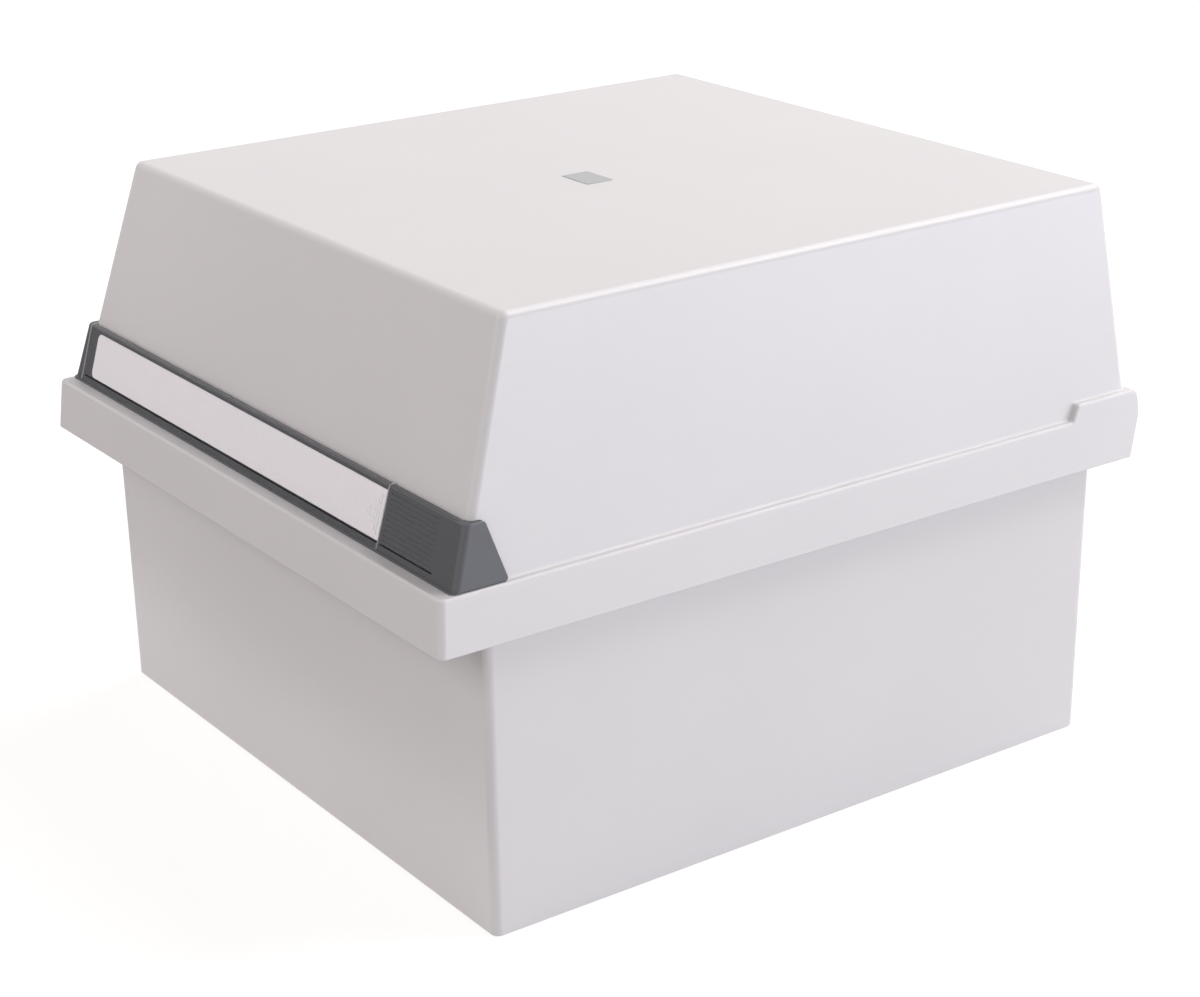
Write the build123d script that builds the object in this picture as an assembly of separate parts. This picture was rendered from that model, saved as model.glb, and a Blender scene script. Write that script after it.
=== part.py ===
from build123d import *
import os
from math import cos, radians, sin, tan

# Card file box for A4 cards that stand on a long edge, closed, on a table.
# Millimetres. X runs to the right, Y from the front to the hinge, Z up.
# The origin is on the table under the centre of the closed box.

# Whole box
lid_width = 343.0       # across the lower edge of the lid's rim
lid_depth = 377.2       # from the rim's front edge to the back of the rear shoulders
box_height = 259.5      # table to the flat top of the lid
tray_height = 154.5     # table to the top of the tray's flange

# Lid
lid_wall = 2.5
rim_height = 23.5       # rim from its lower edge to the ledge
rim_flare = 5.1         # degrees that the rim leans out
side_ledge = 3.5        # ledge beside the leaning walls
front_ledge = 10.4      # ledge in front of them, which carries the label holder
rear_ledge = 4.7        # leaning rear wall's foot, ahead of the shoulders' back
front_lean = 16.6       # degrees from upright
side_lean = 6.0
rear_lean = 6.8
dome_corner = 3.8       # radius of the four leaning corners
dome_top_edge = 3.7     # radius round the flat top
foot_round = 1.5        # hollow radius where the leaning walls meet the ledge
rim_corner = 3.2
rim_top_edge = 1.6
seat_gap = 0.3          # lid's ledge above the tray's flange

# Rear shoulders, which cover the hinge
shoulder_rise = 7.4     # above the ledge
shoulder_length = 42.2  # forward from their back
shoulder_slope = 3.5    # run of the slope up to them
shoulder_round = 2.0
rear_corner = 4.0       # upper rear corner, seen from the side
rear_rise = 7.0         # degrees that the rear face leans in above its bulge
rear_tuck = 16.0        # degrees that it leans in below
bulge_height = 19.7     # above the lower edge of the rim
bulge_radius = 14.0
cheek_round = 2.5       # lower rear corner of the rim, seen from the side
skirt_stop = 14.0       # degrees below the rod's level where the short rear skirt ends

# Tray
tray_wall = 2.8
tray_floor = 2.8
tray_draft = 0.34       # degrees that the walls lean out
tray_corner = 4.0
tray_foot_edge = 0.8
flange_thickness = 2.5
flange_side = 2.9       # flange beyond the side walls
flange_front = 19.9     # flange ahead of the front wall
flange_rear_stop = 3.0  # flange ends this far ahead of the rear wall's outside
flange_corner = 3.0
lip_drop = 12.0         # turned-down lip below the front flange
lip_wall = 2.2
skirt_gap_side = 0.9    # flange edge to the inside of the rim
skirt_gap_front = 1.2

# Hinge
rod_diameter = 4.0
rod_clearance = 0.05    # radial
rod_end_gap = 3.5       # rod's end to the inside of the rim
rod_chamfer = 0.5
hinge_lift = 0.8        # rod's centre above the tray's flange
hinge_back = 14.1       # rod's centre ahead of the shoulders' back
hinge_offset = 8.2      # rod's centre behind the tray's rear wall
knuckle_radius = 5.0
hinge_groups = 4
hinge_inset = 5.6       # outermost knuckle to the tray's side
tray_knuckle_width = 10.0
lid_hook_width = 18.0
knuckle_gap = 0.5
hook_snap = 0.6         # hook's mouth is this much narrower than the rod
web_drop = 5.5          # tray knuckle's root below its top on the wall

# Label holder, which wraps the front foot of the leaning walls
holder_height = 26.0
holder_depth = 3.0      # proud of the leaning front wall
holder_side = 2.3       # proud of the leaning side walls
holder_gap = 0.1
holder_corner = 3.0
holder_edge = 0.5
foot_rise = 0.8         # low foot along the holder's front
foot_out = 1.0
cap_foot_length = 22.3  # end cap along the ledge, behind the front wall's foot
cap_top_length = 5.9
cap_foot_round = 1.5
cap_top_round = 2.5
top_groove_drop = 0.6   # fine groove along the front, below the holder's top edge
top_groove_width = 0.45
top_groove_depth = 0.5
rebate_width = 0.8      # along the rear of the holder's top, for the cover's hook
rebate_depth = 0.9
slot_rise = 2.0         # slot for the cover's lower leg, above the ledge along the slope
slot_width = 0.8
slot_depth = 1.8
slot_inset = 15.2       # slot's right end to the corner of the leaning wall

# Paper strip in its shallow recess
strip_inset = 13.9      # recess's left end to the corner of the leaning wall
strip_foot = 3.0        # above the ledge, along the slope
strip_height = 21.2
strip_corner = 3.0
strip_end = 0.8         # recess's right end to the cover's end
strip_recess = 0.3
paper_thickness = 0.25
paper_fit = 0.15

# Clear cover, which hooks over the holder and slides along it to the right
cover_thickness = 0.6
cover_fit = 0.1
cover_inset = 5.9       # cover's left end to the corner of the leaning wall
cover_travel = 39.0
travel_spare = 0.7      # leg's end to the slot's end with the cover slid right
cover_foot = 1.2        # cover's lower edge above the ledge, along the slope
cover_round = 2.0       # outside of its bend over the holder's top
leg_spare = 0.3         # under the leg and under the hook
mark_count = 6          # fine upright grip lines near the cover's right end
mark_pitch = 1.7
mark_width = 0.35
mark_height = 0.2
mark_margin = 2.0       # last line to the cover's end
mark_length = 16.5      # of the longest line

# Grip lines on the holder, right of the cover
rib_count = 10
rib_margin = 2.5        # from the cover's end and from the slot's end
rib_foot = 4.4          # lowest line above the ledge, along the slope
rib_span = 19.0         # lowest line to the highest
rib_width = 0.5
rib_depth = 0.25

# Snap lugs that hold the holder on the lid
lug_count = 4
lug_inset = 30.9        # outer lug's centre to the corner of the leaning wall
lug_width = 12.0
lug_height = 3.0
lug_fit = 0.3
lug_rise = 14.0         # above the ledge, along the slope
lug_barb = 1.0

# Badge on the top
badge_width = 20.0
badge_length = 14.0
badge_thickness = 0.6
badge_recess = 0.4
badge_fit = 0.1
badge_corner = 0.8
badge_x = 4.5

# Floor rails and support plate
rail_gap = 60.0         # between the lips of the two rails
rail_lip = 4.0
rail_wall = 2.5
rail_slot = 1.4         # under the lips
rail_top = 1.6          # thickness of the lips
rail_end = 4.0          # rails end this far from the front and rear walls
plate_gauge = 1.0
plate_side_gap = 15.3   # panel's side to the inside of the tray's side wall
plate_height = 176.0
plate_lean = 12.0       # degrees
plate_corner = 12.0
plate_bend = 2.5
plate_fit = 0.2         # above the floor, and between the tongue and the rails
plate_foot = 44.0
plate_rear_gap = 2.0    # foot's end to the ends of the rails
neck_gap = 1.5          # neck to the rails' lips, and tongue behind the bend
bead_spacing = 150.0
bead_width = 8.0
bead_length = 110.0
bead_height = 1.2
thumb_radius = 16.0
thumb_rise = 6.0        # notch's centre above the panel's top edge

# Places worked out from the sizes above
front = -lid_depth / 2
rear = lid_depth / 2
ledge_top = tray_height + seat_gap + lid_wall
rim_foot = ledge_top - rim_height
hinge_y = rear - hinge_back
hinge_z = tray_height + hinge_lift
shoulder_top = ledge_top + shoulder_rise
bulge_z = rim_foot + bulge_height
mean_lean = radians((rear_tuck + rear_rise) / 2)
lean_offset = radians((rear_tuck - rear_rise) / 2)
bulge_peak = rear + bulge_radius * (cos(lean_offset) / cos(mean_lean) - 1)
flange_half = lid_width / 2 - rim_height * tan(radians(rim_flare)) - lid_wall - skirt_gap_side
flange_y = front + rim_height * tan(radians(rim_flare)) + lid_wall + skirt_gap_front
tray_half_top = flange_half - flange_side
tray_front_top = flange_y + flange_front
tray_rear_top = hinge_y - hinge_offset
bore_radius = rod_diameter / 2 + rod_clearance
hinge_span = 2 * (tray_half_top - hinge_inset - tray_knuckle_width - knuckle_gap) - lid_hook_width
wall_half = lid_width / 2 - rim_height * tan(radians(rim_flare)) - side_ledge
plate_half = tray_half_top - tray_wall - plate_side_gap
slot_end = wall_half - slot_inset
cover_end = slot_end - travel_spare - cover_travel
cover_start = cover_inset - wall_half
holder_top = ledge_top + holder_height


def rim_half(z):
    return lid_width / 2 - (z - rim_foot) * tan(radians(rim_flare))


def rim_front(z):
    return front + (z - rim_foot) * tan(radians(rim_flare))


def dome_half(z):
    return wall_half - (z - ledge_top) * tan(radians(side_lean))


def dome_front(z):
    return rim_front(ledge_top) + front_ledge + (z - ledge_top) * tan(radians(front_lean))


def dome_rear(z):
    return rear - rear_ledge - (z - ledge_top) * tan(radians(rear_lean))


def tray_grow(z):
    return (z - tray_height) * tan(radians(tray_draft))


def across(outline, half_length):
    """A side outline, drawn in Y and Z, carried both ways along X."""
    return extrude(Plane.YZ * make_face(outline), half_length, both=True)


def through(outline, half_length):
    """A front outline, drawn in X and Z, carried both ways along Y."""
    return extrude(Plane.XZ * make_face(outline), half_length, both=True)


def upright_edges(solid):
    return [edge for edge in solid.edges() if abs((edge % 0.5).Z) > 0.7]


def tapered_block(low, high, half, y_front, y_rear):
    """A block whose four walls lean as the three functions of height say."""
    side = Polyline(
        (y_front(low), low),
        (y_rear(low), low),
        (y_rear(high), high),
        (y_front(high), high),
        close=True,
    )
    face = Polyline(
        (-half(low), low),
        (half(low), low),
        (half(high), high),
        (-half(high), high),
        close=True,
    )
    return across(side, lid_width) & through(face, lid_depth)


def dome_block(low, high, corner, side_out=0.0, front_out=0.0, rear_out=0.0):
    block = tapered_block(
        low,
        high,
        lambda z: dome_half(z) + side_out,
        lambda z: dome_front(z) - front_out,
        lambda z: dome_rear(z) + rear_out,
    )
    return fillet(upright_edges(block), corner)


def rim_rear(z, inset):
    """The rim's rear face, which leans in both above and below its bulge."""
    lean = radians(rear_rise if z > bulge_z else rear_tuck)
    return bulge_peak - abs(z - bulge_z) * tan(lean) - inset / cos(lean)


def rim_outline(inset, foot):
    """Side view of the rim, with the raised shoulder that covers the hinge."""
    top = ledge_top - inset
    shoulder = shoulder_top - inset
    step = rear - shoulder_length + inset
    roof = FilletPolyline(
        (rim_front(top) + inset, top),
        (step, top),
        (step + shoulder_slope, shoulder),
        (rim_rear(shoulder, inset), shoulder),
        (rim_rear(bulge_z, inset), bulge_z),
        (rim_rear(foot, inset), foot),
        radius=[shoulder_round, shoulder_round, rear_corner - inset, bulge_radius - inset],
    )
    return Curve() + [roof, Polyline(roof @ 1, (rim_front(foot) + inset, foot), roof @ 0)]


def rim_block(inset, foot):
    top = shoulder_top + 1
    face = Polyline(
        (inset - rim_half(foot), foot),
        (rim_half(foot) - inset, foot),
        (rim_half(top) - inset, top),
        (inset - rim_half(top), top),
        close=True,
    )
    return across(rim_outline(inset, foot), lid_width) & through(face, lid_depth)


def front_corners(block):
    return [edge for edge in upright_edges(block) if (edge @ 0.5).Y < front / 2]


def rim_roof_edges(block):
    """Edges round the rim's top and down its rear corners."""
    chosen = []
    for edge in block.edges():
        middle = edge @ 0.5
        runs_across = abs((edge % 0.5).X) > 0.9 and middle.Y > front / 2
        at_foot = middle.Z < rim_foot + 0.01
        front_corner = abs((edge % 0.5).Z) > 0.7 and middle.Y < front / 2
        if not (runs_across or at_foot or front_corner):
            chosen.append(edge)
    return chosen


def cheek_corners():
    """What lies outside the round lower rear corner of the rim, seen from the side."""
    reach = 2 * cheek_round
    high = rim_foot + reach
    corner = FilletPolyline(
        (rim_rear(rim_foot, 0) - reach, rim_foot),
        (rim_rear(rim_foot, 0), rim_foot),
        (rim_rear(high, 0), high),
        radius=cheek_round,
    )
    beyond = Polyline(corner @ 1, (rear, high), (rear, rim_foot - 1), corner @ 0)
    return across(corner + beyond, lid_width)


def lid_outside():
    rim = rim_block(0, rim_foot)
    rim = fillet(front_corners(rim), rim_corner)
    rim = fillet(rim_roof_edges(rim), rim_top_edge)
    dome = dome_block(ledge_top - lid_wall, box_height, dome_corner)
    top_edges = dome.faces().sort_by(Axis.Z)[-1].edges()
    dome = fillet(top_edges, dome_top_edge)
    return rim + dome


def lid_inside():
    rim = rim_block(lid_wall, rim_foot - 1)
    rim = fillet(front_corners(rim), rim_corner - lid_wall)
    dome = dome_block(
        rim_foot,
        box_height - lid_wall,
        dome_corner - lid_wall,
        side_out=-lid_wall,
        front_out=-lid_wall / cos(radians(front_lean)),
        rear_out=-lid_wall,
    )
    above = Box(lid_width, lid_depth, box_height, align=(Align.CENTER, Align.CENTER, Align.MIN))
    dome = dome & Pos(0, 0, ledge_top - lid_wall - 1) * above
    top_edges = dome.faces().sort_by(Axis.Z)[-1].edges()
    dome = fillet(top_edges, dome_top_edge - lid_wall)
    return rim + dome


def rear_skirt_cut():
    """What is missing below the hinge, so that the skirt clears the tray as the lid opens."""
    stop = radians(skirt_stop)
    near = knuckle_radius + 2
    far = hinge_back + 3
    outline = Polyline(
        (hinge_y + near * cos(stop), hinge_z - near * sin(stop)),
        (hinge_y + far * cos(stop), hinge_z - far * sin(stop)),
        (hinge_y + far, rim_foot - 1),
        (hinge_y, rim_foot - 1),
        close=True,
    )
    return across(outline, flange_half + skirt_gap_side / 2)


def group_centres(count, span):
    return [span * (index / (count - 1) - 0.5) for index in range(count)]


def hinge_slice(face, width, x):
    """A knuckle section, drawn round the rod's centre, given its width along the rod."""
    place = Plane(origin=(x, hinge_y, hinge_z), x_dir=(0, 1, 0), z_dir=(1, 0, 0))
    return extrude(place * face, width / 2, both=True)


def lid_hook_face():
    """Snap hook: a ring open below, on a web towards the lid's roof and rear face."""
    web = Rectangle(hinge_back, hinge_back, align=(Align.MIN, Align.MIN))
    mouth = Rectangle(rod_diameter - hook_snap, hinge_back, align=(Align.CENTER, Align.MAX))
    return Circle(knuckle_radius) + web - Circle(bore_radius) - mouth


def tray_knuckle_face():
    root_y = -hinge_offset - tray_wall / 3
    root = Line((root_y, -hinge_lift - web_drop), (root_y, -hinge_lift))
    return make_hull(Circle(knuckle_radius).edges() + [root]) - Circle(bore_radius)


def lid_hooks():
    """The hooks, cut to end inside the lid's wall."""
    limit = rim_block(lid_wall / 2, rim_foot)
    centres = group_centres(hinge_groups, hinge_span)
    return [hinge_slice(lid_hook_face(), lid_hook_width, x) & limit for x in centres]


def tray_knuckles():
    step = lid_hook_width / 2 + knuckle_gap + tray_knuckle_width / 2
    places = [x + side * step for x in group_centres(hinge_groups, hinge_span) for side in (-1, 1)]
    return [hinge_slice(tray_knuckle_face(), tray_knuckle_width, x) for x in places]


def front_plane():
    """The leaning front wall's outer face: x across, y up the slope from the ledge, z outwards."""
    lean = radians(front_lean)
    foot = (0, dome_front(ledge_top), ledge_top)
    return Plane(origin=foot, x_dir=(1, 0, 0), z_dir=(0, -cos(lean), sin(lean)))


def slab(x_low, x_high, y_low, y_high, z_low, z_high):
    """A block given by its limits in the plane of the leaning front wall."""
    block = Box(x_high - x_low, y_high - y_low, z_high - z_low, align=Align.MIN)
    return front_plane() * Pos(x_low, y_low, z_low) * block


def lug_centres():
    return group_centres(lug_count, 2 * (wall_half - lug_inset))


def lug_slots():
    half = lug_width / 2 + lug_fit
    low = lug_rise - lug_fit
    high = lug_rise + lug_height + lug_fit
    return [slab(x - half, x + half, low, high, -2 * lid_wall, 1) for x in lug_centres()]


def badge_block(grow, low, high):
    outline = RectangleRounded(badge_width + 2 * grow, badge_length + 2 * grow, badge_corner)
    return Pos(badge_x, 0, low) * extrude(outline, high - low)


def lid_shell():
    shell = lid_outside()
    shell = fillet(dome_foot_edges(shell), foot_round)
    shell -= lid_inside()
    shell -= rear_skirt_cut() + cheek_corners()
    shell += lid_hooks()
    shell -= lug_slots()
    return shell - badge_block(badge_fit, box_height - badge_recess, box_height + 1)


def dome_foot_edges(shell):
    """Where the front and side walls meet the ledge, ahead of the shoulders."""
    edges = shell.edges().filter_by_position(Axis.Z, ledge_top - 0.01, ledge_top + 0.01)
    inside = wall_half + 0.1
    chosen = []
    for edge in edges:
        middle = edge @ 0.5
        if abs(middle.X) < inside and rim_front(ledge_top) + front_ledge - 0.1 < middle.Y:
            if abs((edge % 0.5).X) < 0.99 or middle.Y < 0:
                chosen.append(edge)
    return chosen


def tray_block(low, high, inset, corner):
    block = tapered_block(
        low,
        high,
        lambda z: tray_half_top + tray_grow(z) - inset,
        lambda z: tray_front_top - tray_grow(z) + inset,
        lambda z: tray_rear_top + tray_grow(z) - inset,
    )
    return fillet(upright_edges(block), corner)


def flange():
    """Flange round the front and sides, with a turned-down lip ahead of the front wall."""
    depth = tray_rear_top - flange_rear_stop - flange_y
    lip_depth = flange_front + tray_wall / 2
    down = (Align.CENTER, Align.MIN, Align.MAX)
    plate = Box(2 * flange_half, depth, flange_thickness, align=down)
    skirt = Box(2 * flange_half, lip_depth, lip_drop, align=down)
    body = Pos(0, flange_y, tray_height) * (plate + skirt)
    body = fillet(front_corners(body), flange_corner)
    hollow = Box(2 * (flange_half - lip_wall), lip_depth, lip_drop, align=down)
    return body - Pos(0, flange_y + lip_wall, tray_height - flange_thickness) * hollow


def rails():
    """Two facing rails on the floor, whose lips hold the support plate's tongue down."""
    slot_top = tray_floor + rail_slot
    length = tray_rear_top - tray_front_top - 2 * (tray_wall + rail_end)
    middle = (tray_front_top + tray_rear_top) / 2
    pieces = []
    for side in (-1, 1):
        lip_inner = rail_gap / 2
        wall_inner = lip_inner + rail_lip
        outer = wall_inner + rail_wall
        outline = Polyline(
            (side * wall_inner, tray_floor - 1),
            (side * wall_inner, slot_top),
            (side * lip_inner, slot_top),
            (side * lip_inner, slot_top + rail_top),
            (side * outer, slot_top + rail_top),
            (side * outer, tray_floor - 1),
            close=True,
        )
        pieces.append(Pos(0, middle, 0) * through(outline, length / 2))
    return pieces


def base_tray():
    outside = tray_block(0, tray_height, 0, tray_corner)
    foot_edges = outside.faces().sort_by(Axis.Z)[0].edges()
    outside = chamfer(foot_edges, tray_foot_edge)
    inside = tray_block(tray_floor, tray_height + 1, tray_wall, tray_corner - tray_wall)
    tray = outside + flange() + tray_knuckles()
    tray -= inside
    return tray + rails()


def hinge_rod():
    length = 2 * (rim_half(ledge_top) - lid_wall - rod_end_gap)
    rod = hinge_slice(Circle(rod_diameter / 2), length, 0)
    return chamfer(rod.edges().filter_by(GeomType.CIRCLE), rod_chamfer)


def front_y(z, out):
    """How far forward a surface lies that stands out by this much from the leaning front wall."""
    return dome_front(z) - out / cos(radians(front_lean))


def holder_band():
    """The leaning walls' outside, grown to the holder's faces and cut to its side view."""
    lean = cos(radians(front_lean))
    band = dome_block(ledge_top, holder_top, holder_corner, holder_side, holder_depth / lean)
    side = FilletPolyline(
        (front, ledge_top),
        (dome_front(ledge_top) + cap_foot_length, ledge_top),
        (dome_front(holder_top) + cap_top_length, holder_top),
        (front, holder_top),
        radius=[cap_foot_round, cap_top_round],
    )
    band &= across(side + Line(side @ 1, side @ 0), lid_width)
    band = chamfer(holder_top_edges(band), holder_edge)
    foot = dome_block(ledge_top, holder_top, holder_corner, holder_side, (holder_depth + foot_out) / lean)
    ahead = Box(lid_width, lid_depth, foot_rise, align=(Align.CENTER, Align.MAX, Align.MIN))
    band += foot & Pos(0, dome_front(ledge_top), ledge_top) * ahead
    band -= dome_block(ledge_top - 1, holder_top + 1, dome_corner, holder_gap, holder_gap, holder_gap)
    clear = foot_round + holder_gap
    return band - dome_block(ledge_top - 1, ledge_top + clear, dome_corner, clear, clear, clear)


def holder_top_edges(band):
    """The holder's upper edges along its front, round its corners and along its end caps."""
    chosen = []
    for edge in band.edges():
        middle = edge @ 0.5
        rear_end = middle.Y > dome_front(holder_top) and abs((edge % 0.5).X) > 0.9
        if middle.Z > holder_top - 0.01 and not rear_end:
            chosen.append(edge)
    return chosen


def grip_lines():
    """Fine grooves across the holder's face, right of the cover."""
    left = cover_end + rib_margin
    right = slot_end - rib_margin
    pieces = []
    for index in range(rib_count):
        low = rib_foot + rib_span * index / (rib_count - 1) - rib_width / 2
        pieces.append(slab(left, right, low, low + rib_width, holder_depth - rib_depth, holder_depth + 1))
    return pieces


def holder_grooves():
    """The slot and the rebate that guide the cover, and the fine groove along the top."""
    face_top = holder_height / cos(radians(front_lean)) - top_groove_drop
    reach = wall_half - cover_inset
    face = holder_depth + 1
    slot = slab(cover_start, slot_end, slot_rise, slot_rise + slot_width, holder_depth - slot_depth, face)
    groove_floor = holder_depth - top_groove_depth
    groove = slab(-reach, reach, face_top - top_groove_width, face_top, groove_floor, face)
    rear_y = dome_front(holder_top)
    rebate = Box(2 * reach, rebate_width + 1, rebate_depth + 1, align=(Align.CENTER, Align.MIN, Align.MIN))
    return [slot, groove, Pos(0, rear_y - rebate_width, holder_top - rebate_depth) * rebate]


def holder_lugs():
    """Snap lugs through the lid's front wall, each with a barb behind it."""
    reach = lid_wall + lug_fit
    pieces = []
    for x in lug_centres():
        left = x - lug_width / 2
        right = x + lug_width / 2
        top = lug_rise + lug_height
        pieces.append(slab(left, right, lug_rise, top, -reach - lug_barb, holder_gap + 1))
        pieces.append(slab(left, right, lug_rise, top + lug_barb, -reach - lug_barb, -reach))
    return pieces


def strip_face(inset):
    """The paper's outline, round at its left end and square at its right end."""
    left = strip_inset - wall_half
    length = cover_end - strip_end - left
    outline = Rectangle(length - 2 * inset, strip_height - 2 * inset, align=Align.MIN)
    corners = outline.vertices().sort_by(Axis.X)[:2]
    outline = fillet(corners, strip_corner - inset)
    return front_plane() * Pos(left + inset, strip_foot + inset) * outline


def label_holder():
    recess = extrude(strip_face(0), holder_depth + 1)
    recess -= extrude(strip_face(-1), holder_depth - strip_recess)
    holder = holder_band() - holder_grooves() - grip_lines() - recess
    return holder + holder_lugs()


def label_strip():
    """Paper strip in the holder's recess."""
    floor = holder_depth - strip_recess
    strip = extrude(strip_face(paper_fit), floor + paper_thickness)
    return strip - extrude(strip_face(paper_fit - 1), floor)


def cover_outline():
    """Side view of the cover's plate, its bend over the holder's top and its hook in the rebate."""
    under = holder_depth + cover_fit
    outer = under + cover_thickness
    foot = ledge_top + cover_foot * cos(radians(front_lean))
    low = holder_top + cover_fit
    high = low + cover_thickness
    hook = dome_front(holder_top) - rebate_width + cover_fit
    tip = holder_top - rebate_depth + leg_spare
    outside = FilletPolyline(
        (front_y(foot, outer), foot),
        (front_y(high, outer), high),
        (front_y(high, cover_fit), high),
        radius=cover_round,
    )
    rear = Polyline(outside @ 1, (front_y(tip, cover_fit), tip), (hook, tip), (hook, low))
    inside = FilletPolyline(
        (hook, low),
        (front_y(low, under), low),
        (front_y(foot, under), foot),
        radius=holder_edge,
    )
    return Curve() + [outside, rear, inside, Line(inside @ 1, outside @ 0)]


def cover_marks(top):
    """A pointed group of fine upright lines at the cover's right end."""
    centre = strip_foot + strip_height / 2
    pieces = []
    for index in range(mark_count):
        x = cover_end - mark_margin - index * mark_pitch
        half = mark_length / 2 * (1 - index / mark_count)
        pieces.append(slab(x - mark_width, x, centre - half, centre + half, top - 0.1, top + mark_height))
    return pieces


def label_cover():
    """Clear cover, extruded in one profile, with a leg in the holder's slot."""
    under = holder_depth + cover_fit
    length = cover_end - cover_start
    plate = Pos((cover_start + cover_end) / 2, 0, 0) * across(cover_outline(), length / 2)
    low = slot_rise + cover_fit
    high = slot_rise + slot_width - cover_fit
    leg = slab(cover_start + cover_fit, cover_end, low, high, holder_depth - slot_depth + leg_spare, under + 0.1)
    return plate + leg + cover_marks(under + cover_thickness)


def lid_badge():
    low = box_height - badge_recess
    return badge_block(0, low, low + badge_thickness)


def plate_bend_y():
    """Where the support plate's panel meets its tongue, with the plate pushed right back."""
    return tray_rear_top - tray_wall - rail_end - plate_rear_gap - plate_foot


def plate_front_view():
    """Panel with round top corners and a thumb notch, on a neck that passes between the rails' lips."""
    foot = tray_floor + rail_slot + rail_top + 1
    top = tray_floor + plate_fit + plate_height
    panel = Pos(0, foot) * Rectangle(2 * plate_half, top - foot, align=(Align.CENTER, Align.MIN))
    panel = fillet(panel.vertices().sort_by(Axis.Y)[-2:], plate_corner)
    panel -= Pos(0, top + thumb_rise) * Circle(thumb_radius)
    neck = Rectangle(rail_gap - 2 * neck_gap, foot + 1, align=(Align.CENTER, Align.MIN))
    return panel + neck


def plate_tongue_view():
    """Top view of the tongue, wide enough to lie under both rails' lips behind the neck."""
    half = rail_gap / 2 + rail_lip - plate_fit
    start = plate_bend_y() + plate_bend + neck_gap
    return Pos(0, start) * Rectangle(2 * half, plate_foot, align=(Align.CENTER, Align.MIN))


def bent_sheet():
    """The panel and the tongue as one full-width strip, bent from sheet."""
    lean = radians(plate_lean)
    low = tray_floor + plate_fit
    bend = (plate_bend_y(), low)
    top = (plate_bend_y() + plate_height * tan(lean), low + plate_height)
    path = FilletPolyline((plate_bend_y() + plate_foot, low), bend, top, radius=plate_bend)
    edge_view = offset(path, plate_gauge, side=Side.RIGHT, closed=True)
    return across(edge_view.edges(), plate_half)


def plate_beads(depth, grow):
    """Upright stiffening beads, measured from the panel's front face towards the rear."""
    lean = radians(plate_lean)
    foot = (0, plate_bend_y(), tray_floor + plate_fit)
    place = Plane(origin=foot, x_dir=(1, 0, 0), z_dir=(0, -cos(lean), sin(lean)))
    slot = Rot(0, 0, 90) * SlotOverall(bead_length + 2 * grow, bead_width + 2 * grow)
    rise = plate_height / 2 / cos(lean)
    return [place * Pos(x, rise, -depth) * extrude(slot, depth) for x in group_centres(2, bead_spacing)]


def support_plate():
    sheet = bent_sheet()
    panel = sheet & extrude(Plane.XZ * plate_front_view(), lid_depth, both=True)
    tongue = sheet & extrude(plate_tongue_view(), tray_floor + rail_slot)
    plate = panel + tongue + plate_beads(bead_height + plate_gauge, plate_gauge)
    return plate - plate_beads(bead_height, 0)


parts = {
    "base_tray": base_tray,
    "lid_shell": lid_shell,
    "hinge_rod": hinge_rod,
    "label_holder": label_holder,
    "label_cover": label_cover,
    "label_strip": label_strip,
    "lid_badge": lid_badge,
    "support_plate": support_plate,
}

os.makedirs("parts", exist_ok=True)
for name, make in parts.items():
    export_step(make(), f"parts/{name}.step")
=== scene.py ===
import bmesh
import bpy
import math
from mathutils import Matrix, Vector

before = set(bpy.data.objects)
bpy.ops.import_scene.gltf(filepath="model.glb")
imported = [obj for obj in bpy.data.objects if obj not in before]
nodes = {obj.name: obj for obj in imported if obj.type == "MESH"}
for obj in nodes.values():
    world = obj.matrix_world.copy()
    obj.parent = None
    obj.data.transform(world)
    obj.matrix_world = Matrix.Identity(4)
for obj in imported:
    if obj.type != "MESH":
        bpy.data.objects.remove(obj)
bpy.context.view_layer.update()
mm = 0.001


def linearFromHex(hexColour):  # sRGB hex to the linear colour that the shaders take
    parts = [int(hexColour[i:i + 2], 16) / 255 for i in (1, 3, 5)]
    return [c / 12.92 if c <= 0.04045 else ((c + 0.055) / 1.055) ** 2.4 for c in parts] + [1.0]


def addNode(tree, kind, settings=None, links=None):
    node = tree.nodes.new(kind)
    for name, value in (settings or {}).items():
        if isinstance(name, str) and hasattr(node, name) and name not in node.inputs:
            setattr(node, name, value)
        else:
            node.inputs[name].default_value = value
    for name, source in (links or {}).items():
        tree.links.new(source, node.inputs[name])
    return node


def newMaterial(name):
    material = bpy.data.materials.new(name)
    material.use_nodes = True
    material.node_tree.nodes.clear()
    return material, material.node_tree


def perMetre(sizeMm):
    return 1 / (sizeMm * mm)  # a texture scale that gives features of this size


lightPlastic = {
    "colour": "#e1dee0",
    "shade": "#dcd9db",
    "ior": 1.59,
    "roughness": 0.36,
    "roughSpread": 0.05,
    "grainMm": 0.9,
    "grainDepth": 0.012,
    "grainStrength": 0.35,
    "cloudMm": 90.0,
    "edgeMm": 0.35,
}


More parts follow.
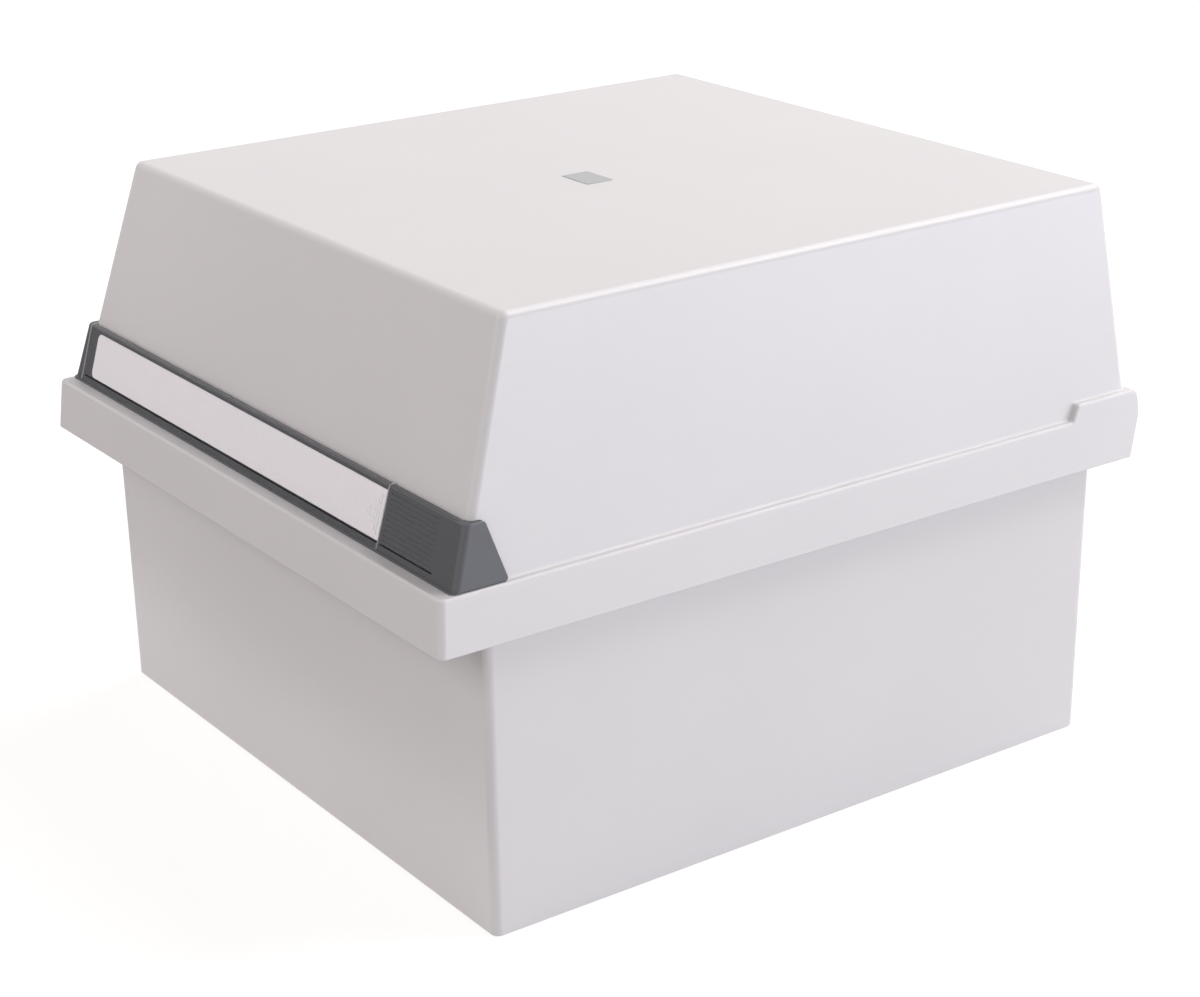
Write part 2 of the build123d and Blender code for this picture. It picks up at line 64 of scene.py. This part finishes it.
def makeLightPlastic():
    # Moulded polystyrene, light grey, from a lightly spark eroded tool: satin, with soft highlights.
    s = lightPlastic
    material, tree = newMaterial("mouldedLightGrey")
    where = addNode(tree, "ShaderNodeTexCoord").outputs["Object"]
    cloud = addNode(
        tree, "ShaderNodeTexNoise", {"Scale": perMetre(s["cloudMm"]), "Detail": 2.0}, {"Vector": where}
    )
    grain = addNode(
        tree, "ShaderNodeTexNoise", {"Scale": perMetre(s["grainMm"]), "Detail": 3.0}, {"Vector": where}
    )
    colour = addNode(tree, "ShaderNodeMix", {"data_type": "RGBA"}, {0: cloud.outputs["Fac"]})
    colour.inputs[6].default_value = linearFromHex(s["shade"])
    colour.inputs[7].default_value = linearFromHex(s["colour"])
    rough = addNode(
        tree, "ShaderNodeMapRange",
        {"To Min": s["roughness"] - s["roughSpread"], "To Max": s["roughness"] + s["roughSpread"]},
        {"Value": grain.outputs["Fac"]},
    )
    soft = addNode(tree, "ShaderNodeBevel", {"Radius": s["edgeMm"] * mm})
    bump = addNode(
        tree, "ShaderNodeBump", {"Strength": s["grainStrength"], "Distance": s["grainDepth"] * mm},
        {"Height": grain.outputs["Fac"], "Normal": soft.outputs["Normal"]},
    )
    shader = addNode(
        tree, "ShaderNodeBsdfPrincipled", {"IOR": s["ior"]},
        {
            "Base Color": colour.outputs[2],
            "Roughness": rough.outputs["Result"],
            "Normal": bump.outputs["Normal"],
        },
    )
    addNode(tree, "ShaderNodeOutputMaterial", None, {"Surface": shader.outputs["BSDF"]})
    return material


darkPlastic = {
    "colour": "#505155",
    "speck": "#626368",
    "ior": 1.53,
    "roughness": 0.45,
    "roughSpread": 0.08,
    "grainMm": 0.8,
    "fineShare": 0.6,
    "grainDepth": 0.08,
    "grainStrength": 0.5,
    "edgeMm": 0.3,
}


def makeDarkPlastic():
    # Moulded ABS, dark grey, with a fine leather-like grain that breaks up the light.
    s = darkPlastic
    material, tree = newMaterial("grainedDarkGrey")
    where = addNode(tree, "ShaderNodeTexCoord").outputs["Object"]
    grain = addNode(
        tree, "ShaderNodeTexVoronoi", {"Scale": perMetre(s["grainMm"]), "feature": "SMOOTH_F1"},
        {"Vector": where},
    )
    fine = addNode(
        tree, "ShaderNodeTexNoise", {"Scale": perMetre(s["grainMm"] * s["fineShare"]), "Detail": 4.0},
        {"Vector": where},
    )
    colour = addNode(tree, "ShaderNodeMix", {"data_type": "RGBA"}, {0: fine.outputs["Fac"]})
    colour.inputs[6].default_value = linearFromHex(s["colour"])
    colour.inputs[7].default_value = linearFromHex(s["speck"])
    rough = addNode(
        tree, "ShaderNodeMapRange",
        {"To Min": s["roughness"] - s["roughSpread"], "To Max": s["roughness"] + s["roughSpread"]},
        {"Value": fine.outputs["Fac"]},
    )
    soft = addNode(tree, "ShaderNodeBevel", {"Radius": s["edgeMm"] * mm})
    bump = addNode(
        tree, "ShaderNodeBump", {"Strength": s["grainStrength"], "Distance": s["grainDepth"] * mm},
        {"Height": grain.outputs["Distance"], "Normal": soft.outputs["Normal"]},
    )
    shader = addNode(
        tree, "ShaderNodeBsdfPrincipled", {"IOR": s["ior"]},
        {
            "Base Color": colour.outputs[2],
            "Roughness": rough.outputs["Result"],
            "Normal": bump.outputs["Normal"],
        },
    )
    addNode(tree, "ShaderNodeOutputMaterial", None, {"Surface": shader.outputs["BSDF"]})
    return material


clearCover = {
    "tint": "#ffffff",
    "roughness": 0.08,
    "faceGloss": 0.004,
    "edgeGloss": 0.30,
    "edgePower": 5.0,
    "cutFrost": 0.75,
    "cutFacing": 0.5,
    "waveMm": 25.0,
    "waveDepth": 0.02,
    "waveStrength": 0.3,
}


def makeClearCover():
    # Clear moulded polystyrene: polished, so the label shows through, with a gloss that grows where it
    # is seen at a slant.
    s = clearCover
    material, tree = newMaterial("clearPolystyrene")
    where = addNode(tree, "ShaderNodeTexCoord").outputs["Object"]
    wave = addNode(
        tree, "ShaderNodeTexNoise", {"Scale": perMetre(s["waveMm"]), "Detail": 1.0}, {"Vector": where}
    )
    bump = addNode(
        tree, "ShaderNodeBump", {"Strength": s["waveStrength"], "Distance": s["waveDepth"] * mm},
        {"Height": wave.outputs["Fac"]},
    )
    clear = addNode(tree, "ShaderNodeBsdfTransparent", {"Color": linearFromHex(s["tint"])})
    gloss = addNode(
        tree, "ShaderNodeBsdfAnisotropic", {"Roughness": s["roughness"]}, {"Normal": bump.outputs["Normal"]}
    )
    facing = addNode(tree, "ShaderNodeLayerWeight", {"Blend": 0.5}, {"Normal": bump.outputs["Normal"]})
    steep = addNode(
        tree, "ShaderNodeMath", {"operation": "POWER", 1: s["edgePower"]}, {0: facing.outputs["Facing"]}
    )
    share = addNode(
        tree, "ShaderNodeMapRange", {"To Min": s["faceGloss"], "To Max": s["edgeGloss"]},
        {"Value": steep.outputs[0]},
    )
    polished = addNode(
        tree, "ShaderNodeMixShader", None,
        {0: share.outputs["Result"], 1: clear.outputs["BSDF"], 2: gloss.outputs["BSDF"]},
    )
    # The ends and the sides of the grip lines, which face left and right, are frosted and catch light.
    normal = addNode(tree, "ShaderNodeTexCoord").outputs["Normal"]
    across = addNode(tree, "ShaderNodeSeparateXYZ", None, {"Vector": normal}).outputs["X"]
    sideways = addNode(tree, "ShaderNodeMath", {"operation": "ABSOLUTE"}, {0: across})
    cut = addNode(
        tree, "ShaderNodeMapRange", {"From Min": s["cutFacing"], "To Max": s["cutFrost"]},
        {"Value": sideways.outputs[0]},
    )
    frost = addNode(tree, "ShaderNodeBsdfDiffuse", {"Color": linearFromHex(s["tint"])})
    both = addNode(
        tree, "ShaderNodeMixShader", None,
        {0: cut.outputs["Result"], 1: polished.outputs["Shader"], 2: frost.outputs["BSDF"]},
    )
    addNode(tree, "ShaderNodeOutputMaterial", None, {"Surface": both.outputs["Shader"]})
    return material


labelPaper = {"colour": "#f8f5fa", "fibre": "#f0edf2", "fibreMm": 0.8, "roughness": 0.85}


def makeLabelPaper():
    # Uncoated label card: white, dull, with a faint fibre cloud.
    s = labelPaper
    material, tree = newMaterial("labelCard")
    where = addNode(tree, "ShaderNodeTexCoord").outputs["Object"]
    fibre = addNode(
        tree, "ShaderNodeTexNoise", {"Scale": perMetre(s["fibreMm"]), "Detail": 5.0}, {"Vector": where}
    )
    colour = addNode(tree, "ShaderNodeMix", {"data_type": "RGBA"}, {0: fibre.outputs["Fac"]})
    colour.inputs[6].default_value = linearFromHex(s["fibre"])
    colour.inputs[7].default_value = linearFromHex(s["colour"])
    shader = addNode(
        tree, "ShaderNodeBsdfPrincipled", {"Roughness": s["roughness"]}, {"Base Color": colour.outputs[2]}
    )
    addNode(tree, "ShaderNodeOutputMaterial", None, {"Surface": shader.outputs["BSDF"]})
    return material


metals = {
    "rod": {"colour": "#b9babc", "roughness": 0.25, "lineMm": 0.4, "stretch": (0.02, 1, 1)},
    "plate": {"colour": "#b4b6b8", "roughness": 0.42, "lineMm": 6.0, "stretch": (1, 1, 1)},
    "badge": {"colour": "#b6b6b8", "roughness": 0.35, "lineMm": 0.25, "stretch": (0.03, 1, 1)},
}
metalFinish = {"smoother": 0.08, "rougher": 0.1, "lineDepth": 0.01, "lineStrength": 0.2}


def makeMetal(name, key):
    # Drawn rod, zinc plated sheet and brushed badge: a metal whose lines or spangle vary its gloss.
    s = metals[key] | metalFinish
    material, tree = newMaterial(name)
    where = addNode(tree, "ShaderNodeTexCoord").outputs["Object"]
    turned = addNode(tree, "ShaderNodeMapping", {"Scale": s["stretch"]}, {"Vector": where})
    lines = addNode(
        tree, "ShaderNodeTexNoise", {"Scale": perMetre(s["lineMm"]), "Detail": 4.0},
        {"Vector": turned.outputs["Vector"]},
    )
    rough = addNode(
        tree, "ShaderNodeMapRange",
        {"To Min": s["roughness"] - s["smoother"], "To Max": s["roughness"] + s["rougher"]},
        {"Value": lines.outputs["Fac"]},
    )
    bump = addNode(
        tree, "ShaderNodeBump", {"Strength": s["lineStrength"], "Distance": s["lineDepth"] * mm},
        {"Height": lines.outputs["Fac"]},
    )
    shader = addNode(
        tree, "ShaderNodeBsdfPrincipled", {"Base Color": linearFromHex(s["colour"]), "Metallic": 1.0},
        {"Roughness": rough.outputs["Result"], "Normal": bump.outputs["Normal"]},
    )
    addNode(tree, "ShaderNodeOutputMaterial", None, {"Surface": shader.outputs["BSDF"]})
    return material


# The CAD facets are joined for smooth shading, with creases kept past this angle, in degrees.
shading = {"joinDistance": 1e-6, "creaseAngle": 28, "faceWeight": 100}


def dress(node, material):
    s = shading
    piece = nodes[node]
    piece.data.materials.clear()
    piece.data.materials.append(material)
    for face in piece.data.polygons:
        face.use_smooth = True
    weld = piece.modifiers.new("joinFacets", "WELD")
    weld.merge_threshold = s["joinDistance"]
    split = piece.modifiers.new("keepCreases", "EDGE_SPLIT")
    split.split_angle = math.radians(s["creaseAngle"])
    level = piece.modifiers.new("flatFaces", "WEIGHTED_NORMAL")
    level.keep_sharp = True
    level.weight = s["faceWeight"]


light = makeLightPlastic()
dress("base_tray", light)
dress("lid_shell", light)
dress("label_holder", makeDarkPlastic())
dress("label_cover", makeClearCover())
dress("label_strip", makeLabelPaper())
dress("lid_badge", makeMetal("brushedBadge", "badge"))
dress("support_plate", makeMetal("zincPlatedSheet", "plate"))
dress("hinge_rod", makeMetal("drawnRod", "rod"))
print("materials are on", len(nodes), "pieces")


room = {
    "floorColour": "#dedddc",
    "floorShade": "#b4b2b1",
    "floorGlow": 0.74,
    "floorHalf": 6.0,
    "sideColour": "#fbf8f6",
    "sideLevel": 0.71,
    "topLevel": 0.18,
}


def seenRay(tree):  # 1 where the room is seen straight, in a gloss or through the clear cover
    path = addNode(tree, "ShaderNodeLightPath")
    seen = addNode(
        tree, "ShaderNodeMath", {"operation": "ADD"},
        {0: path.outputs["Is Camera Ray"], 1: path.outputs["Is Glossy Ray"]},
    )
    shown = addNode(
        tree, "ShaderNodeMath", {"operation": "ADD", "use_clamp": True},
        {0: seen.outputs[0], 1: path.outputs["Is Transmission Ray"]},
    )
    return shown.outputs[0]


def makeRoom():
    bm = bmesh.new()
    bmesh.ops.create_grid(bm, x_segments=1, y_segments=1, size=room["floorHalf"])
    mesh = bpy.data.meshes.new("floor")
    bm.to_mesh(mesh)
    bm.free()
    floor = bpy.data.objects.new("floor", mesh)
    bpy.context.collection.objects.link(floor)
    # The floor lights the box as pale board does, and looks white around it, with a faint shadow.
    material, tree = newMaterial("paleFloor")
    board = addNode(tree, "ShaderNodeBsdfDiffuse", {"Color": linearFromHex(room["floorColour"])})
    shade = addNode(tree, "ShaderNodeBsdfDiffuse", {"Color": linearFromHex(room["floorShade"])})
    glow = addNode(tree, "ShaderNodeEmission", {"Strength": room["floorGlow"]})
    pale = addNode(
        tree, "ShaderNodeAddShader", None, {0: shade.outputs["BSDF"], 1: glow.outputs["Emission"]}
    )
    both = addNode(
        tree, "ShaderNodeMixShader", None,
        {0: seenRay(tree), 1: board.outputs["BSDF"], 2: pale.outputs["Shader"]},
    )
    addNode(tree, "ShaderNodeOutputMaterial", None, {"Surface": both.outputs["Shader"]})
    mesh.materials.append(material)

    # The room lights the box from all round, less from above, and shows white wherever it is seen
    # or mirrored.
    world = bpy.data.worlds.new("softRoom")
    bpy.context.scene.world = world
    world.use_nodes = True
    tree = world.node_tree
    tree.nodes.clear()
    where = addNode(tree, "ShaderNodeTexCoord").outputs["Generated"]
    height = addNode(tree, "ShaderNodeSeparateXYZ", None, {"Vector": where}).outputs["Z"]
    level = addNode(
        tree, "ShaderNodeMapRange", {"To Min": room["sideLevel"], "To Max": room["topLevel"]},
        {"Value": height},
    )
    lit = addNode(
        tree, "ShaderNodeBackground", {"Color": linearFromHex(room["sideColour"])},
        {"Strength": level.outputs["Result"]},
    )
    white = addNode(tree, "ShaderNodeBackground", {"Color": (1, 1, 1, 1), "Strength": 1.0})
    both = addNode(
        tree, "ShaderNodeMixShader", None,
        {0: seenRay(tree), 1: lit.outputs["Background"], 2: white.outputs["Background"]},
    )
    addNode(tree, "ShaderNodeOutputWorld", None, {"Surface": both.outputs["Shader"]})


boxLamps = {
    "backTop": {"place": (0.10, 1.35, 1.9), "size": (2.2, 1.6), "radiance": 2.55, "colour": "#fffbf9"},
    "key": {"place": (1.00, 1.50, 2.17), "size": (1.0, 1.0), "radiance": 4.6, "colour": "#ffffff"},
    "lowStrip": {"place": (2.65, 1.46, 0.17), "size": (3.0, 0.30), "radiance": 10.2, "colour": "#e9efff"},
    "frontLow": {"place": (-0.7, -1.9, 1.35), "size": (1.1, 1.1), "radiance": 4.0, "colour": "#fff9f7"},
}
lampAim = Vector((0.0, 0.0, 0.2))


def makeLamps():
    for name, s in boxLamps.items():
        data = bpy.data.lights.new(name, "AREA")
        data.shape = "RECTANGLE"
        data.size, data.size_y = s["size"]
        data.color = linearFromHex(s["colour"])[:3]
        data.energy = s["radiance"] * math.pi * s["size"][0] * s["size"][1]
        lamp = bpy.data.objects.new(name, data)
        lamp.location = s["place"]
        lamp.rotation_mode = "QUATERNION"
        lamp.rotation_quaternion = (Vector(s["place"]) - lampAim).to_track_quat("Z", "Y")
        lamp.visible_camera = False
        bpy.context.collection.objects.link(lamp)


darkCard = {
    "colour": "#1b1b1c",
    "cloud": "#232324",
    "cloudMm": 60.0,
    "rows": [
        [(-1.6, -0.22, 0.004), (0.4, -0.22, 0.004)],
        [(-2.3, -1.1, 0.004), (-0.2, -1.1, 0.004)],
        [(-2.8, -1.8, 1.2), (-0.5, -1.8, 1.2)],
    ],
}


def makeDarkCard():
    # A bent dark card on the floor before the box's front. Only reflections see it, and it keeps the
    # gloss of that side deep.
    s = darkCard
    bm = bmesh.new()
    rows = [[bmesh.ops.create_vert(bm, co=place)["vert"][0] for place in row] for row in s["rows"]]
    for near, far in zip(rows, rows[1:]):
        bmesh.ops.contextual_create(bm, geom=near + far)
    mesh = bpy.data.meshes.new("darkCard")
    bm.to_mesh(mesh)
    bm.free()
    card = bpy.data.objects.new("darkCard", mesh)
    bpy.context.collection.objects.link(card)
    material, tree = newMaterial("darkCard")
    where = addNode(tree, "ShaderNodeTexCoord").outputs["Object"]
    cloud = addNode(tree, "ShaderNodeTexNoise", {"Scale": perMetre(s["cloudMm"])}, {"Vector": where})
    colour = addNode(tree, "ShaderNodeMix", {"data_type": "RGBA"}, {0: cloud.outputs["Fac"]})
    colour.inputs[6].default_value = linearFromHex(s["colour"])
    colour.inputs[7].default_value = linearFromHex(s["cloud"])
    shader = addNode(tree, "ShaderNodeBsdfDiffuse", None, {"Color": colour.outputs[2]})
    addNode(tree, "ShaderNodeOutputMaterial", None, {"Surface": shader.outputs["BSDF"]})
    mesh.materials.append(material)
    for kind in ("camera", "diffuse", "transmission", "shadow"):
        setattr(card, "visible_" + kind, False)


photoCamera = {
    "azimuth": 54.797,
    "elevation": 20.950,
    "roll": -0.851,
    "distance": 1.2055,
    "target": (0.01726, -0.00472, 0.11034),
    "lens": 77.792,
    "sensor": 36.0,
    "farthest": 50.0,
}


def makeCamera():
    s = photoCamera
    a, e, r = (math.radians(s[k]) for k in ("azimuth", "elevation", "roll"))
    back = Vector((math.sin(a) * math.cos(e), -math.cos(a) * math.cos(e), math.sin(e)))
    right = Vector((math.cos(a), math.sin(a), 0))
    up = back.cross(right)
    turnedRight = math.cos(r) * right + math.sin(r) * up
    turnedUp = math.cos(r) * up - math.sin(r) * right
    turn = Matrix((turnedRight, turnedUp, back)).transposed().to_4x4()
    data = bpy.data.cameras.new("photoCamera")
    data.lens = s["lens"]
    data.sensor_width = s["sensor"]
    data.sensor_fit = "HORIZONTAL"
    data.clip_end = s["farthest"]
    camera = bpy.data.objects.new("photoCamera", data)
    camera.matrix_world = Matrix.Translation(Vector(s["target"]) + s["distance"] * back) @ turn
    bpy.context.collection.objects.link(camera)
    bpy.context.scene.camera = camera


makeRoom()
makeLamps()
makeDarkCard()
makeCamera()
bpy.context.scene.view_settings.view_transform = "Standard"
print("room, lamps and camera are set")
